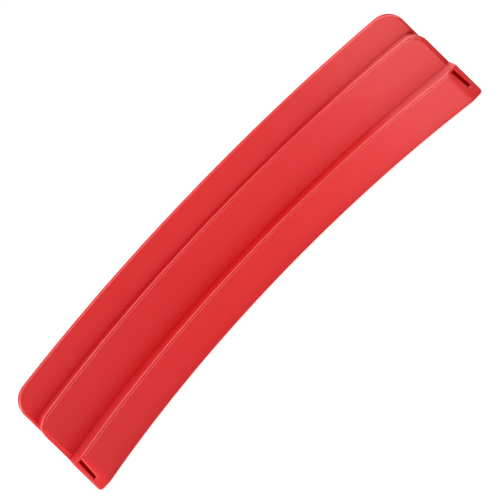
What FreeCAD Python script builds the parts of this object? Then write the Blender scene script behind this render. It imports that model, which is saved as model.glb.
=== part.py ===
import FreeCAD, Part
import math
import os

# Curved, stepped guard panel: three long bands that lap on each other, and a
# closed socket behind the slot at each end of the lowest band.
# X runs along the panel, -Y is the hollow side, +Z is up.
# Origin: centre of the footprint box, in the plane of the bottom edge.
# All sizes are in millimetres.

LENGTH = 350.0            # along the bottom, outer face of one end wall to the other
END_DRAFT = 0.015         # how far each end leans in, per millimetre of height
WALL = 2.5                # moulded wall thickness

TOP_Z = 75.6              # upper edge of the upper band
MIDDLE_Z = 55.5           # ledge on top of the middle band
LOWER_Z = 25.3            # ledge on top of the lower band

UPPER_R = 416.0           # radius of each band's hollow face, seen from above
MIDDLE_R = 360.0
LOWER_R = 330.0
UPPER_Y = 0.0             # where each hollow face crosses the middle plane
MIDDLE_Y = -6.2
LOWER_Y = -21.0

UPPER_CORNER = 12.5       # upper corners of the upper band
MIDDLE_CORNER = 10.0      # upper corners of the middle band
BOTTOM_CORNER = 2.5       # bottom corners of the lower band
TAIL_Z = 47.5             # the upper band's tails reach down to here at the ends
FRONT_ROUND = 1.4         # rounding of the lower band's end and bottom front edges
FREE_ROUND = 1.5          # rounding of the upper band's free edge, on the hollow side
EDGE_BEVEL = 0.6          # bevel of the other free edges

RIM_WIDTH = 1.6           # narrow set-back along the front of each ledge
RIM_END_WIDTH = 2.6       # strip that faces forward along the middle band's upright ends
RIM_DEPTH = 0.5
RIM_FOLD_R = 2.0          # fold between the hollow face's curve and the strip
RIM_BEVEL = 0.35          # bevel of the edge below the set-back

TONGUE_THICK = 1.0        # tongue under a band, in a groove in the ledge below it
TONGUE_DEEP = 1.5
TONGUE_END = 14.0         # from the tongue's end to the outer face of the end wall

LIP_LENGTH = 9.4          # flat lip at each end of the lower band
FOLD_R = 8.0              # rounded fold between the curved front and the lip
SLOT_TOP_Z = 24.0
SLOT_BOTTOM_Z = 8.7
SLOT_TOP = (3.4, 5.95)    # the slot's sides at its top, from the end wall's outer face
SLOT_BOTTOM = (2.65, 4.8)
SLOT_BEVEL = 0.8          # bevelled mouth along the slot's inner side and sill
SOCKET_SIDE = 6.6         # the closed socket's inner wall, from the end wall's outer face
SOCKET_DEEP = 7.0         # inside depth of the socket along its inner wall
SOCKET_SHALLOW = 2.5      # inside depth along the end wall. The back slopes between them
SOCKET_WALL = 1.5

HALF = LENGTH / 2.0
FAR = 60.0                # overrun of cutting shapes
WIDE = HALF + 5.0         # slabs start wider and are trimmed to their outline


def vec(x, y, z=0.0):
    return FreeCAD.Vector(x, y, z)


def arc_y(radius, apex, x):
    """Y of a hollow face at x. The ends come forward, towards -Y."""
    return apex - radius + math.sqrt(radius * radius - x * x)


def half_at(z):
    """Half the panel's length at a height."""
    return HALF - END_DRAFT * z


def offset(arc, distance):
    """The arc moved back, away from the hollow side, by a distance."""
    return (arc[0] + distance, arc[1] + distance)


# An arc seen from above is given as (radius, apex).
UPPER_FRONT = (UPPER_R, UPPER_Y)
UPPER_BACK = offset(UPPER_FRONT, WALL)
MIDDLE_FRONT = (MIDDLE_R, MIDDLE_Y)
MIDDLE_BACK = offset(MIDDLE_FRONT, WALL)
LOWER_FRONT = (LOWER_R, LOWER_Y)
LOWER_BACK = offset(LOWER_FRONT, WALL)

LIP_X = HALF - LIP_LENGTH
LIP_Y = arc_y(LOWER_R, LOWER_Y, LIP_X)

# Moves the middle of the footprint box to Y = 0.
ORIGIN_SHIFT = -(LIP_Y + UPPER_BACK[1]) / 2.0


def lipped_edges(arc, half, lip_y, fold):
    """A hollow face seen from above: its arc, then at each end a fold and a flat lip."""
    radius, apex = arc
    centre_y = apex - radius
    rise = lip_y + fold - centre_y
    fold_x = math.sqrt((radius + fold) ** 2 - rise ** 2)
    turn_x = fold_x * radius / (radius + fold)
    turn_y = centre_y + rise * radius / (radius + fold)
    half_turn = 0.5 * math.asin(fold_x / (radius + fold))
    middle_x = fold_x - fold * math.sin(half_turn)
    middle_y = lip_y + fold - fold * math.cos(half_turn)
    edges = [Part.makeLine(vec(-half, lip_y), vec(-fold_x, lip_y))]
    edges.append(Part.Arc(vec(-fold_x, lip_y), vec(-middle_x, middle_y), vec(-turn_x, turn_y)).toShape())
    edges.append(Part.Arc(vec(-turn_x, turn_y), vec(0, apex), vec(turn_x, turn_y)).toShape())
    edges.append(Part.Arc(vec(turn_x, turn_y), vec(middle_x, middle_y), vec(fold_x, lip_y)).toShape())
    edges.append(Part.makeLine(vec(fold_x, lip_y), vec(half, lip_y)))
    return edges


def plan_slab(front, back, half, z_low, z_high, lip_y=None, fold=0.0):
    """Upright slab between two arcs, with end faces at x = -half and x = +half."""
    if lip_y is None:
        left = vec(-half, arc_y(front[0], front[1], half))
        right = vec(half, left.y)
        edges = [Part.Arc(left, vec(0, front[1]), right).toShape()]
    else:
        edges = lipped_edges(front, half, lip_y, fold)
    y_front = arc_y(front[0], front[1], half) if lip_y is None else lip_y
    y_back = arc_y(back[0], back[1], half)
    edges.append(Part.makeLine(vec(half, y_front), vec(half, y_back)))
    edges.append(Part.Arc(vec(half, y_back), vec(0, back[1]), vec(-half, y_back)).toShape())
    edges.append(Part.makeLine(vec(-half, y_back), vec(-half, y_front)))
    slab = Part.Face(Part.Wire(edges)).extrude(vec(0, 0, z_high - z_low))
    slab.translate(vec(0, 0, z_low))
    return slab


def outline_prism(inset, z_low, z_high, top_corner=0.0, bottom_corner=0.0):
    """The front-view outline with drafted ends and rounded corners, run through in Y."""
    low = half_at(z_low) - inset
    high = half_at(z_high) - inset
    points = [vec(-low, -2 * FAR, z_low), vec(low, -2 * FAR, z_low)]
    points += [vec(high, -2 * FAR, z_high), vec(-high, -2 * FAR, z_high)]
    points.append(points[0])
    prism = Part.Face(Part.makePolygon(points)).extrude(vec(0, 3 * FAR, 0))
    for z, corner in ((z_high, top_corner), (z_low, bottom_corner)):
        if corner > 0:
            edges = [e for e in prism.Edges if runs_along_y(e) and abs(e.Vertexes[0].Z - z) < 1e-6]
            prism = prism.makeFillet(corner, edges)
    return prism


def runs_along_y(edge):
    a = edge.Vertexes[0].Point
    b = edge.Vertexes[-1].Point
    return abs(a.x - b.x) < 1e-6 and abs(a.z - b.z) < 1e-6 and abs(a.y - b.y) > 1e-6


def pick_edges(shape, wanted):
    """The edges that a test picks by their middle point."""
    picked = []
    for edge in shape.Edges:
        middle = edge.valueAt((edge.FirstParameter + edge.LastParameter) / 2.0)
        if wanted(edge, middle):
            picked.append(edge)
    return picked


def on_front(arc, point, tolerance=0.02):
    return abs(point.y - arc_y(arc[0], arc[1], point.x)) < tolerance


def make_tongue(front, z):
    """Thin rib under a band's wall, let down into the ledge at z."""
    face = offset(front, (WALL - TONGUE_THICK) / 2.0)
    return plan_slab(face, offset(face, TONGUE_THICK), HALF - TONGUE_END, z - TONGUE_DEEP, z)


def make_upper(middle_outline, tongue):
    sheet = plan_slab(UPPER_FRONT, UPPER_BACK, WIDE, 0.0, TOP_Z + 1.0)
    sheet = sheet.common(outline_prism(0.0, -1.0, TOP_Z, UPPER_CORNER))

    def front_edge(edge, point):
        return on_front(UPPER_FRONT, point) and point.z > 1.0

    def back_edge(edge, point):
        return on_front(UPPER_BACK, point) and point.z > 1.0
    sheet = sheet.makeFillet(FREE_ROUND, pick_edges(sheet, front_edge))
    sheet = sheet.makeChamfer(EDGE_BEVEL, pick_edges(sheet, back_edge))
    sheet = sheet.cut(middle_outline).cut(outline_prism(-5.0, -5.0, TAIL_Z))
    return sheet.fuse(tongue).removeSplitter()


def make_middle(middle_outline, upper_tongue, tongue):
    body = plan_slab(MIDDLE_FRONT, UPPER_BACK, WIDE, LOWER_Z, MIDDLE_Z + 1.0).common(middle_outline)
    inner_outline = outline_prism(RIM_END_WIDTH, 0.0, MIDDLE_Z - RIM_WIDTH, MIDDLE_CORNER - RIM_WIDTH)
    # The set-back follows the hollow face, and its end strips turn to face forward.
    rim_face = offset(MIDDLE_FRONT, RIM_DEPTH)
    strip_y = arc_y(rim_face[0], rim_face[1], half_at(MIDDLE_Z) - RIM_END_WIDTH)
    behind_rim = plan_slab(rim_face, UPPER_BACK, HALF + 1.0, LOWER_Z - 1.0, MIDDLE_Z + 2.0,
                           strip_y, RIM_FOLD_R)
    rim = plan_slab(offset(MIDDLE_FRONT, -2.0), UPPER_BACK, WIDE, LOWER_Z - 2.0, TOP_Z + 5.0)
    rim = rim.common(middle_outline).cut(inner_outline).cut(behind_rim)
    body = body.cut(rim)
    outline_skin = middle_outline.Shells[0]
    rim_skin = behind_rim.Shells[0]

    def outer_edge(edge, point):
        in_front = point.y < arc_y(UPPER_FRONT[0], UPPER_FRONT[1], point.x) - 1.0
        if not in_front or point.z < LOWER_Z + 0.1:
            return False
        spot = Part.Vertex(point)
        return max(rim_skin.distToShape(spot)[0], outline_skin.distToShape(spot)[0]) < 0.001

    def inner_edge(edge, point):
        return on_front(MIDDLE_FRONT, point) and point.z > LOWER_Z + 0.1
    body = body.makeChamfer(EDGE_BEVEL, pick_edges(body, outer_edge))
    body = body.makeChamfer(RIM_BEVEL, pick_edges(body, inner_edge))
    hollow = plan_slab(MIDDLE_BACK, offset(UPPER_BACK, FAR / 2.0), WIDE, LOWER_Z - 1.0, MIDDLE_Z)
    hollow_outline = outline_prism(WALL, LOWER_Z - 2.0, MIDDLE_Z - WALL, MIDDLE_CORNER - WALL)
    body = body.cut(hollow.common(hollow_outline))
    return body.fuse(tongue).cut(upper_tongue).removeSplitter()


def make_lower(tongue):
    body = plan_slab(LOWER_FRONT, MIDDLE_BACK, WIDE, 0.0, LOWER_Z, LIP_Y, FOLD_R)
    body = body.common(outline_prism(0.0, 0.0, LOWER_Z + 1.0, 0.0, BOTTOM_CORNER))

    def front_end(edge, point):
        at_end = abs(abs(point.x) - half_at(point.z)) < 0.01
        return at_end and abs(point.y - LIP_Y) < 0.01 and point.z > BOTTOM_CORNER
    body = body.makeFillet(FRONT_ROUND, pick_edges(body, front_end))
    rim = plan_slab(offset(LOWER_FRONT, -2.0), offset(LOWER_FRONT, RIM_DEPTH), HALF,
                    LOWER_Z - RIM_WIDTH, LOWER_Z + 1.0)
    body = body.cut(rim)

    def ledge_edge(edge, point):
        set_back = on_front(offset(LOWER_FRONT, RIM_DEPTH), point)
        return abs(point.z - LOWER_Z) < 0.001 and set_back

    def rim_edge(edge, point):
        return abs(point.z - LOWER_Z + RIM_WIDTH) < 0.001 and on_front(LOWER_FRONT, point)

    body = body.makeChamfer(RIM_BEVEL, pick_edges(body, rim_edge))
    body = body.makeChamfer(EDGE_BEVEL, pick_edges(body, ledge_edge))
    hollow = plan_slab(LOWER_BACK, offset(MIDDLE_BACK, FAR / 2.0), WIDE,
                       -1.0, LOWER_Z - WALL, LIP_Y + WALL, FOLD_R - WALL)
    body = body.cut(hollow.common(outline_prism(WALL, -2.0, LOWER_Z)))
    for side in (-1, 1):
        body = body.cut(slot_cutter(side))
    body = body.makeChamfer(SLOT_BEVEL, pick_edges(body, slot_edge))
    return body.cut(tongue).removeSplitter()


def slot_edge(edge, point):
    """The inner side and the sill of a slot's mouth."""
    if abs(point.y - LIP_Y) > 0.001:
        return False
    from_end = half_at(point.z) - abs(point.x)
    on_sill = abs(point.z - SLOT_BOTTOM_Z) < 0.01
    middle = (SLOT_TOP[1] + SLOT_BOTTOM[1]) / 2.0
    on_inner_side = abs(from_end - middle) < 0.4 and abs(point.z - (SLOT_TOP_Z + SLOT_BOTTOM_Z) / 2.0) < 0.1
    return on_sill or on_inner_side


def slot_cutter(side):
    """Slot through the lip. Both of its sides lean outwards on the way down."""
    y = LIP_Y - 1.0
    corners = []
    for z, (outer, inner) in ((SLOT_TOP_Z, SLOT_TOP), (SLOT_BOTTOM_Z, SLOT_BOTTOM[::-1])):
        corners.append(vec(side * (half_at(z) - outer), y, z))
        corners.append(vec(side * (half_at(z) - inner), y, z))
    corners.append(corners[0])
    return Part.Face(Part.makePolygon(corners)).extrude(vec(0, 1.0 + WALL + SOCKET_SHALLOW, 0))


def make_socket(side, lower):
    """Tray that closes the space behind a slot: sloping back, inner wall and bottom wall."""
    y_mouth = LIP_Y + WALL
    inner = HALF - SOCKET_SIDE
    end_wall = HALF - WALL
    outer = HALF - 1.0
    slope = (SOCKET_DEEP - SOCKET_SHALLOW) / (end_wall - inner)
    back_wall = SOCKET_WALL * math.sqrt(1.0 + slope * slope)

    def back_y(x, behind=0.0):
        return y_mouth + SOCKET_DEEP - slope * (x - inner) + behind
    bend = inner + (back_wall - SOCKET_WALL) / slope
    y_back = y_mouth + SOCKET_DEEP + SOCKET_WALL
    plan = [vec(inner - SOCKET_WALL, y_mouth), vec(inner - SOCKET_WALL, y_back)]
    plan += [vec(bend, y_back), vec(outer, back_y(outer, back_wall)), vec(outer, y_mouth)]
    space_plan = [vec(inner, y_mouth), vec(inner, back_y(inner))]
    space_plan += [vec(outer, back_y(outer)), vec(outer, y_mouth)]
    z_low = SLOT_BOTTOM_Z
    tray = upright_prism(plan, z_low - SOCKET_WALL, LOWER_Z - 0.5)
    tray = tray.cut(upright_prism(space_plan, z_low, LOWER_Z))
    if side < 0:
        tray = tray.mirror(vec(0, 0, 0), vec(1, 0, 0))
    return tray.cut(lower).removeSplitter()


def upright_prism(corners, z_low, z_high):
    prism = Part.Face(Part.makePolygon(corners + corners[:1])).extrude(vec(0, 0, z_high - z_low))
    prism.translate(vec(0, 0, z_low))
    return prism


def main():
    os.makedirs("parts", exist_ok=True)
    middle_outline = outline_prism(0.0, 0.0, MIDDLE_Z, MIDDLE_CORNER)
    upper_tongue = make_tongue(UPPER_FRONT, MIDDLE_Z)
    middle_tongue = make_tongue(MIDDLE_FRONT, LOWER_Z)
    lower = make_lower(middle_tongue)
    nodes = {
        "upper_band": make_upper(middle_outline, upper_tongue),
        "middle_band": make_middle(middle_outline, upper_tongue, middle_tongue),
        "lower_band": lower,
        "left_socket": make_socket(-1, lower),
        "right_socket": make_socket(1, lower),
    }
    for name, shape in nodes.items():
        shape.translate(vec(0, ORIGIN_SHIFT, 0))
        solids = shape.Solids
        print(name, "solids", len(solids), "valid", shape.isValid(), "volume", round(shape.Volume, 1))
        solids[0].exportStep("parts/" + name + ".step")


main()
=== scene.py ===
import math

import bpy
from mathutils import Matrix, Vector


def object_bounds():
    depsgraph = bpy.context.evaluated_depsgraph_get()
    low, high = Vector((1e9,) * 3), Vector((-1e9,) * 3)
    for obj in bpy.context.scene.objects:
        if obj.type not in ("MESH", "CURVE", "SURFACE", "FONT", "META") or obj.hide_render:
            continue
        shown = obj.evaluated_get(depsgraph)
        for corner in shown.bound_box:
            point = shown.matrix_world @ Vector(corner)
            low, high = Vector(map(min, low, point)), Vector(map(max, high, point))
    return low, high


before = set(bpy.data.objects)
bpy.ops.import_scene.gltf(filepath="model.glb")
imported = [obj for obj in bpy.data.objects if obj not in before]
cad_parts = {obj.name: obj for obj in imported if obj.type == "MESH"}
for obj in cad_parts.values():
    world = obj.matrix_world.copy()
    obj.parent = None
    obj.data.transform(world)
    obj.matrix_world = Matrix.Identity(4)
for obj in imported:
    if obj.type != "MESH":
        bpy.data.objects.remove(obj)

cad_low, cad_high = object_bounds()
LENGTH = cad_high.x - cad_low.x


# ---------------------------------------------------------------- shader helpers

OPENNESS_SAMPLES = 16


def node_of(tree, kind, place, **values):
    """A shader node with its named inputs set."""
    node = tree.nodes.new(kind)
    node.location = place
    for name, value in values.items():
        node.inputs[name.replace("_", " ")].default_value = value
    return node


def mix_of(tree, place, factor, first, second, blend="MIX"):
    """A colour mix. Each input is a value or a socket."""
    node = node_of(tree, "ShaderNodeMix", place)
    node.data_type = "RGBA"
    node.blend_type = blend
    for socket, value in ((node.inputs[0], factor), (node.inputs[6], first), (node.inputs[7], second)):
        if isinstance(value, bpy.types.NodeSocket):
            tree.links.new(value, socket)
        else:
            socket.default_value = value
    return node.outputs[2]


def grey(level):
    """A level of grey as a shader colour."""
    return (level, level, level, 1.0)


def linear(red, green, blue):
    """A screen colour, 0 to 255, as a shader colour."""
    out = []
    for value in (red, green, blue):
        value /= 255.0
        out.append(value / 12.92 if value <= 0.04045 else ((value + 0.055) / 1.055) ** 2.4)
    return (*out, 1.0)


def ramped(tree, place, value, stops):
    """A socket's value read off a ramp. Each stop is a position and a level or colour."""
    node = node_of(tree, "ShaderNodeValToRGB", place)
    colours = [(at, grey(level) if isinstance(level, float) else level) for at, level in stops]
    elements = node.color_ramp.elements
    while len(elements) > 1:
        elements.remove(elements[-1])
    elements[0].position, elements[0].color = colours[0]
    for at, colour in colours[1:]:
        elements.new(at).color = colour
    tree.links.new(value, node.inputs["Fac"])
    return node.outputs["Color"]


def noise(tree, place, read, scale, detail):
    """Noise fixed to the object, with about scale spots to the metre."""
    node = node_of(tree, "ShaderNodeTexNoise", place, Scale=scale, Detail=detail)
    tree.links.new(read["point"], node.inputs["Vector"])
    return node.outputs["Fac"]


def openness(tree, place, reach, inside):
    """1 where no face is within reach. From inside, less than 1 beside an outer edge."""
    node = node_of(tree, "ShaderNodeAmbientOcclusion", place, Distance=reach)
    node.samples = OPENNESS_SAMPLES
    node.inside = inside
    return node.outputs["AO"]


# ---------------------------------------------------------------- the plastic

# Colours.
DEEP_RED = linear(215, 12, 15)
PALE_RED = linear(219, 16, 19)
LIT_LEDGE_RED = linear(223, 24, 26)                      # painted light: faces that look up are paler
SHEEN_RED = linear(225, 112, 114)                     # painted sheen, a pale reflection that is strongest at the right end
SLOT_GLOW_RED = linear(255, 10, 6)                      # painted light inside a slot, standing in for light that comes through its walls
HIGHLIGHT_RED = linear(255, 120, 115)                   # painted highlight along the edges

# Noises: the scale and the detail.
CLOUDS = (14.0, 3.0)                                 # faint clouds of DEEP_RED and PALE_RED
PATCHES = (240.0, 3.0)                               # breaks in the painted highlight lines
MOTTLE = (60.0, 4.0)                                 # duller and glossier spots
GRAIN = (2600.0, 2.0)                                # fine bumps all over

COLOUR_BY_CLOUD = [(0.35, DEEP_RED), (0.65, PALE_RED)]

# How much painted light a face has, against how far it looks up.
LIGHT_BY_RISE = [(0.6, 0.0), (0.95, 1.0)]

# How much painted sheen a ledge has, from the panel's left end, 0, to its right, 1, and the share of it
# that an upright face has, against how far it turns to an end.
SHEEN_ALONG = [(0.0, 0.08), (0.04, 0.15), (0.12, 0.12), (0.35, 0.0), (0.68, 0.0), (0.8, 0.11),
              (0.86, 0.42), (0.92, 0.60)]
SHEEN_BY_TURN = [(0.12, 0.0), (0.3, 0.17)]

# Where faces close in, against openness: an inner corner gets painted shade, and a slot's inside gets
# painted light in a purer red.
CREASE_SHUT = 0.3
CREASE_OPEN = 0.95
SLOT_GLOW_BY_OPENNESS = [(0.1, 1.0), (0.28, 0.0)]

# Where an edge gets the painted highlight: close to the edge, and with no other face near.
EDGE_BY_OPENNESS = [(0.82, 1.0), (0.97, 0.0)]
NEAR_REACH = 0.006
CLEAR_BY_OPENNESS = [(0.57, 0.0), (0.75, 1.0)]

# How much painted highlight an edge has against how far it faces up, on a bevelled and on a rounded edge.
BEVEL_LIFT = [(0.62, 0.0), (0.7, 1.0)]
ROUNDED_LIFT = [(0.12, 0.0), (0.25, 1.0), (0.45, 1.0), (0.6, 0.0)]

# How far an upright bevel looks to an end of the panel where its painted highlight starts, is full, is last
# full and has stopped, and the share of it on one that faces the right end.
BEVEL_TURNS = (0.55, 0.65, 0.8, 0.9)
HIGHLIGHT_BY_SIDE = [(0.0, 1.0), (0.5, 0.45)]

# How strong the painted highlight on the edges is along the panel, and how patchy it is.
HIGHLIGHT_ALONG = [(0.0, 0.8), (0.06, 0.85), (0.14, 1.0), (0.3, 1.0), (0.5, 0.7), (0.7, 0.28), (0.82, 0.7),
             (0.92, 1.1)]
HIGHLIGHT_BY_PATCH = [(0.3, 0.75), (0.6, 1.0)]

ROUGHNESS_BY_MOTTLE = [(0.3, 0.44), (0.7, 0.49)]
PLASTIC_IOR = 1.49
EDGE_RADIUS = 0.0006                                 # softens the shading of sharp edges
EDGE_SAMPLES = 8
GRAIN_STRENGTH = 0.06
GRAIN_DEPTH = 0.0002


def readings(tree):
    """Sockets that the masks read.

    point is the place on the object, along runs from 0 at the left end to 1 at the right,
    up and right are how far a face looks those ways, and aside how far it looks to either end.
    """
    link = tree.links.new
    coordinates = node_of(tree, "ShaderNodeTexCoord", (-1900, 0))
    normal = node_of(tree, "ShaderNodeSeparateXYZ", (-1650, -300))
    link(coordinates.outputs["Normal"], normal.inputs[0])
    aside = node_of(tree, "ShaderNodeMath", (-1650, -1550))
    aside.operation = "ABSOLUTE"
    link(normal.outputs["X"], aside.inputs[0])
    point = node_of(tree, "ShaderNodeSeparateXYZ", (-1650, -1750))
    link(coordinates.outputs["Object"], point.inputs[0])
    along = node_of(tree, "ShaderNodeMapRange", (-1500, -1750), From_Min=cad_low.x, From_Max=cad_high.x)
    link(point.outputs["X"], along.inputs["Value"])
    return {
        "point": coordinates.outputs["Object"],
        "along": along.outputs["Result"],
        "up": normal.outputs["Z"],
        "right": normal.outputs["X"],
        "aside": aside.outputs[0],
    }


def plastic_colour(tree, read, crease_reach, crease_shade):
    """Clouds, painted light on the ledges, a painted sheen at the ends, painted shade in the creases and
    painted light in the slots.
    """
    clouds = noise(tree, (-1650, 600), read, *CLOUDS)
    colour = ramped(tree, (-1400, 600), clouds, COLOUR_BY_CLOUD)
    # Painted light: faces that look up, such as the ledges, turn paler.
    lit_tops = ramped(tree, (-1400, 400), read["up"], LIGHT_BY_RISE)
    colour = mix_of(tree, (-1050, 500), lit_tops, colour, LIT_LEDGE_RED)

    # Painted sheen: a pale reflection, strongest at the right end, on ledges and on faces turned to an end.
    sheen = ramped(tree, (-1300, -2000), read["along"], SHEEN_ALONG)
    turned = ramped(tree, (-1400, 950), read["aside"], SHEEN_BY_TURN)
    sheen_share = mix_of(tree, (-1200, 850), 1.0, turned, lit_tops, "ADD")
    sheen = mix_of(tree, (-1050, 800), 1.0, sheen, sheen_share, "MULTIPLY")
    colour = mix_of(tree, (-950, 650), sheen, colour, SHEEN_RED)

    # Painted shade: inner corners and creases darken by how closed in they are.
    around = openness(tree, (-1650, 150), crease_reach, False)
    painted_crease_shade = ramped(tree, (-1400, 200), around, [(CREASE_SHUT, crease_shade), (CREASE_OPEN, 1.0)])
    colour = mix_of(tree, (-850, 400), 1.0, colour, painted_crease_shade, "MULTIPLY")
    # Painted light: the inside of a slot turns a bright, pure red.
    slot_glow = ramped(tree, (-1400, 0), around, SLOT_GLOW_BY_OPENNESS)
    return mix_of(tree, (-650, 300), slot_glow, colour, SLOT_GLOW_RED)


def edge_highlights(tree, read, edge_reach, lift, slot_highlight):
    """Mask of the painted highlight: a patchy pale line along outer edges that face up, and on the slots'
    bevels.
    """
    # Painted highlights: a pale line along outer edges that face up and along the slots' bevels.
    highlit = ramped(tree, (-1400, -450), openness(tree, (-1650, -500), edge_reach, True), EDGE_BY_OPENNESS)
    clear = ramped(tree, (-1400, -650), openness(tree, (-1650, -700), NEAR_REACH, False), CLEAR_BY_OPENNESS)
    lifted = ramped(tree, (-1400, -250), read["up"], lift)
    upright_highlight = list(zip(BEVEL_TURNS, (0.0, slot_highlight, slot_highlight, 0.0)))
    upright = ramped(tree, (-1400, -1550), read["aside"], upright_highlight)
    side = ramped(tree, (-1400, -1800), read["right"], HIGHLIGHT_BY_SIDE)
    upright = mix_of(tree, (-1200, -1600), 1.0, upright, side, "MULTIPLY")
    bevels = mix_of(tree, (-1100, -300), 1.0, lifted, upright, "ADD")
    patches = ramped(tree, (-1400, -850), noise(tree, (-1650, -900), read, *PATCHES), HIGHLIGHT_BY_PATCH)
    stretches = ramped(tree, (-1300, -1750), read["along"], HIGHLIGHT_ALONG)
    for step, part in enumerate((clear, bevels, patches, stretches)):
        highlit = mix_of(tree, (-1050 + 170 * step, -500), 1.0, highlit, part, "MULTIPLY")
    return highlit


def plastic_normal(tree, read):
    """A shading normal with soft edges and a fine grain."""
    soft = node_of(tree, "ShaderNodeBevel", (-600, -1300), Radius=EDGE_RADIUS)
    soft.samples = EDGE_SAMPLES
    grain = node_of(tree, "ShaderNodeBump", (-300, -1200), Strength=GRAIN_STRENGTH, Distance=GRAIN_DEPTH)
    tree.links.new(noise(tree, (-1650, -1300), read, *GRAIN), grain.inputs["Height"])
    tree.links.new(soft.outputs["Normal"], grain.inputs["Normal"])
    return grain.outputs["Normal"]


def moulded_plastic(name, edge_reach, lift, slot_highlight, crease_reach, crease_shade):
    """Satin moulded plastic: faint clouding and grain, painted shade in the creases, painted highlights on
    the edges.

    edge_reach is the distance from an outer edge that gets the painted highlight, and crease_reach
    the distance from an inner corner that darkens to crease_shade, a painted shade, in metres.
    lift is how much painted highlight an edge has against how far it faces up, and slot_highlight
    how much painted highlight an upright bevel, such as a slot's side, has.
    """
    material = bpy.data.materials.new(name)
    material.use_nodes = True
    tree = material.node_tree
    tree.nodes.clear()
    read = readings(tree)
    colour = plastic_colour(tree, read, crease_reach, crease_shade)
    highlit = edge_highlights(tree, read, edge_reach, lift, slot_highlight)
    mottle = noise(tree, (-1650, -1100), read, *MOTTLE)

    shader = node_of(tree, "ShaderNodeBsdfPrincipled", (0, 0), IOR=PLASTIC_IOR)
    out = node_of(tree, "ShaderNodeOutputMaterial", (300, 0))
    link = tree.links.new
    # The base colour turns to the painted highlight along the edges.
    link(mix_of(tree, (-350, 100), highlit, colour, HIGHLIGHT_RED), shader.inputs["Base Color"])
    link(ramped(tree, (-1400, -1050), mottle, ROUGHNESS_BY_MOTTLE), shader.inputs["Roughness"])
    link(plastic_normal(tree, read), shader.inputs["Normal"])
    link(shader.outputs["BSDF"], out.inputs["Surface"])
    return material


LOOKS = {
    "upper_band": moulded_plastic("upper_band_look", edge_reach=0.0023, lift=ROUNDED_LIFT,
                                  slot_highlight=0.0, crease_reach=0.035, crease_shade=0.88),
    "middle_band": moulded_plastic("middle_band_look", edge_reach=0.0009, lift=BEVEL_LIFT,
                                   slot_highlight=0.0, crease_reach=0.035, crease_shade=0.95),
}
OTHER_LOOK = moulded_plastic("lower_band_look", edge_reach=0.0009, lift=BEVEL_LIFT,
                             slot_highlight=1.8, crease_reach=0.010, crease_shade=0.90)
for node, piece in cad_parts.items():
    piece.data.materials.clear()
    piece.data.materials.append(LOOKS.get(node, OTHER_LOOK))


# ---------------------------------------------------------------- the studio

FLOOR_RADIUS = 4.0 * LENGTH
FLOOR_SIDES = 96
FLOOR_SHADE = 0.9
FLOOR_GLOW = 0.55                                    # what the floor adds for the camera, up to white
SURROUND_LIGHT = 0.29

LAMP_REACH = 1.6                                     # metres from the middle of the object to a lamp
KEY_SIZE = (0.9, 0.16)
HIGH_SIZE = (0.6, 0.6)

# Each lamp's name, turn, height, size and light, as softbox says.
LAMPS = [
    ("key_light", -46.0, 3.5, KEY_SIZE, 0.55),
    ("right_light", 85.0, 62.0, HIGH_SIZE, 0.08),
    ("back_right_light", 135.0, 62.0, HIGH_SIZE, 0.17),
    ("back_left_light", -135.0, 62.0, HIGH_SIZE, 0.29),
    ("top_light", 0.0, 78.0, HIGH_SIZE, 0.23),
]


def seen_directly(tree):
    """1 for a ray from the camera, off a gloss or through glass, 0 for one that only brings light."""
    ray = tree.nodes.new("ShaderNodeLightPath")
    seen = ray.outputs["Is Camera Ray"]
    for kind in ("Is Glossy Ray", "Is Transmission Ray"):
        most = tree.nodes.new("ShaderNodeMath")
        most.operation = "MAXIMUM"
        tree.links.new(seen, most.inputs[0])
        tree.links.new(ray.outputs[kind], most.inputs[1])
        seen = most.outputs[0]
    return seen


def white_stage(name, shade, glow):
    """Pale surface that shows white to the camera and still takes the shadow."""
    material = bpy.data.materials.new(name)
    material.use_nodes = True
    tree = material.node_tree
    tree.nodes.clear()
    plain = node_of(tree, "ShaderNodeBsdfDiffuse", (0, 100), Color=grey(shade))
    lit = node_of(tree, "ShaderNodeEmission", (0, -100), Color=grey(1.0), Strength=glow)
    both = node_of(tree, "ShaderNodeAddShader", (250, 0))
    mix = node_of(tree, "ShaderNodeMixShader", (500, 100))
    out = node_of(tree, "ShaderNodeOutputMaterial", (700, 100))
    tree.links.new(plain.outputs[0], both.inputs[0])
    tree.links.new(lit.outputs[0], both.inputs[1])
    tree.links.new(seen_directly(tree), mix.inputs[0])
    tree.links.new(plain.outputs[0], mix.inputs[1])
    tree.links.new(both.outputs[0], mix.inputs[2])
    tree.links.new(mix.outputs[0], out.inputs["Surface"])
    return material


def make_floor():
    """A round level floor. The white surround shows beyond it."""
    turns = [2.0 * math.pi * step / FLOOR_SIDES for step in range(FLOOR_SIDES)]
    rim = [(FLOOR_RADIUS * math.cos(turn), FLOOR_RADIUS * math.sin(turn), 0.0) for turn in turns]
    mesh = bpy.data.meshes.new("floor")
    mesh.from_pydata(rim, [], [tuple(range(FLOOR_SIDES))])
    mesh.update()
    mesh.materials.append(white_stage("floor_white", FLOOR_SHADE, FLOOR_GLOW))
    floor = bpy.data.objects.new("floor", mesh)
    floor.location.z = cad_low.z
    bpy.context.scene.collection.objects.link(floor)


def make_world(level):
    """A white surround, dimmer as a light than as a background."""
    world = bpy.data.worlds.new("studio")
    bpy.context.scene.world = world
    world.use_nodes = True
    tree = world.node_tree
    tree.nodes.clear()
    dim = node_of(tree, "ShaderNodeBackground", (0, 100), Color=grey(1.0), Strength=level)
    full = node_of(tree, "ShaderNodeBackground", (0, -100), Color=grey(1.0), Strength=1.0)
    mix = node_of(tree, "ShaderNodeMixShader", (250, 0))
    out = node_of(tree, "ShaderNodeOutputWorld", (500, 0))
    tree.links.new(seen_directly(tree), mix.inputs[0])
    tree.links.new(dim.outputs[0], mix.inputs[1])
    tree.links.new(full.outputs[0], mix.inputs[2])
    tree.links.new(mix.outputs[0], out.inputs["Surface"])


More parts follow.
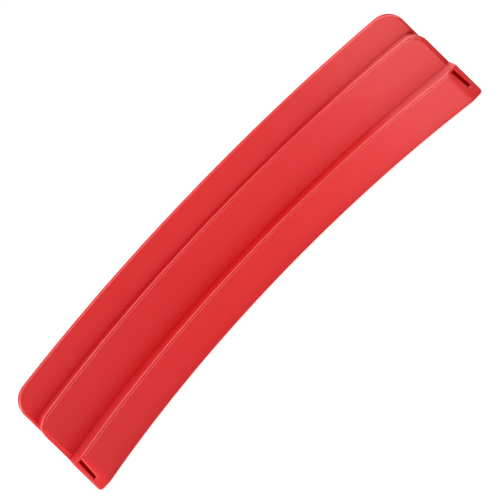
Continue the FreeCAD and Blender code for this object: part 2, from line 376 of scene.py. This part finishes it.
def softbox(name, turn, height, size, light):
    """A rectangular area lamp aimed at the middle of the object.

    turn is degrees to the right of straight in front, height degrees above level,
    size its width and height, and light the level it gives on a surface square to it.
    """
    turn = math.radians(turn)
    height = math.radians(height)
    way = Vector((math.sin(turn) * math.cos(height), -math.cos(turn) * math.cos(height), math.sin(height)))
    data = bpy.data.lights.new(name, "AREA")
    data.shape = "RECTANGLE"
    data.size, data.size_y = size
    data.energy = light * (math.pi * LAMP_REACH) ** 2
    lamp = bpy.data.objects.new(name, data)
    lamp.location = (cad_low + cad_high) / 2.0 + LAMP_REACH * way
    lamp.rotation_euler = (-way).to_track_quat("-Z", "Y").to_euler()
    bpy.context.scene.collection.objects.link(lamp)


make_floor()
make_world(SURROUND_LIGHT)
for name, turn, height, size, light in LAMPS:
    softbox(name, turn, height, size, light)


# ---------------------------------------------------------------- the camera

# The panel is seen from its hollow side, a little from above and from the left,
# through a long lens, with the camera rolled so that it lies along a diagonal.
PITCH = math.radians(15.3)
YAW = math.radians(2.4)
ROLL = math.radians(45.65)
DISTANCE = 2.319                                     # metres
SENSOR = 36.0                                        # millimetres, as the lens is
LENS = 257.8

# The camera's target, on the hollow face of the upper band, in metres.
TARGET_RIGHT = 0.0023
TARGET_HEIGHT = 0.02087
WALL = 0.0025

target = Vector((TARGET_RIGHT, cad_high.y - WALL, cad_low.z + TARGET_HEIGHT))
back = Vector((-math.sin(YAW) * math.cos(PITCH), -math.cos(YAW) * math.cos(PITCH), math.sin(PITCH)))
level_right = Vector((math.cos(YAW), -math.sin(YAW), 0.0))
level_up = back.cross(level_right)
right = math.cos(ROLL) * level_right - math.sin(ROLL) * level_up
up = math.sin(ROLL) * level_right + math.cos(ROLL) * level_up

camera_data = bpy.data.cameras.new("camera")
camera_data.sensor_width = SENSOR
camera_data.lens = LENS
camera_data.clip_start = 0.05
camera_data.clip_end = 50.0
camera = bpy.data.objects.new("camera", camera_data)
bpy.context.scene.collection.objects.link(camera)
basis = Matrix((right, up, back)).transposed().to_4x4()
camera.matrix_world = Matrix.Translation(target + back * DISTANCE) @ basis
bpy.context.scene.camera = camera

bpy.context.scene.view_settings.view_transform = "Standard"
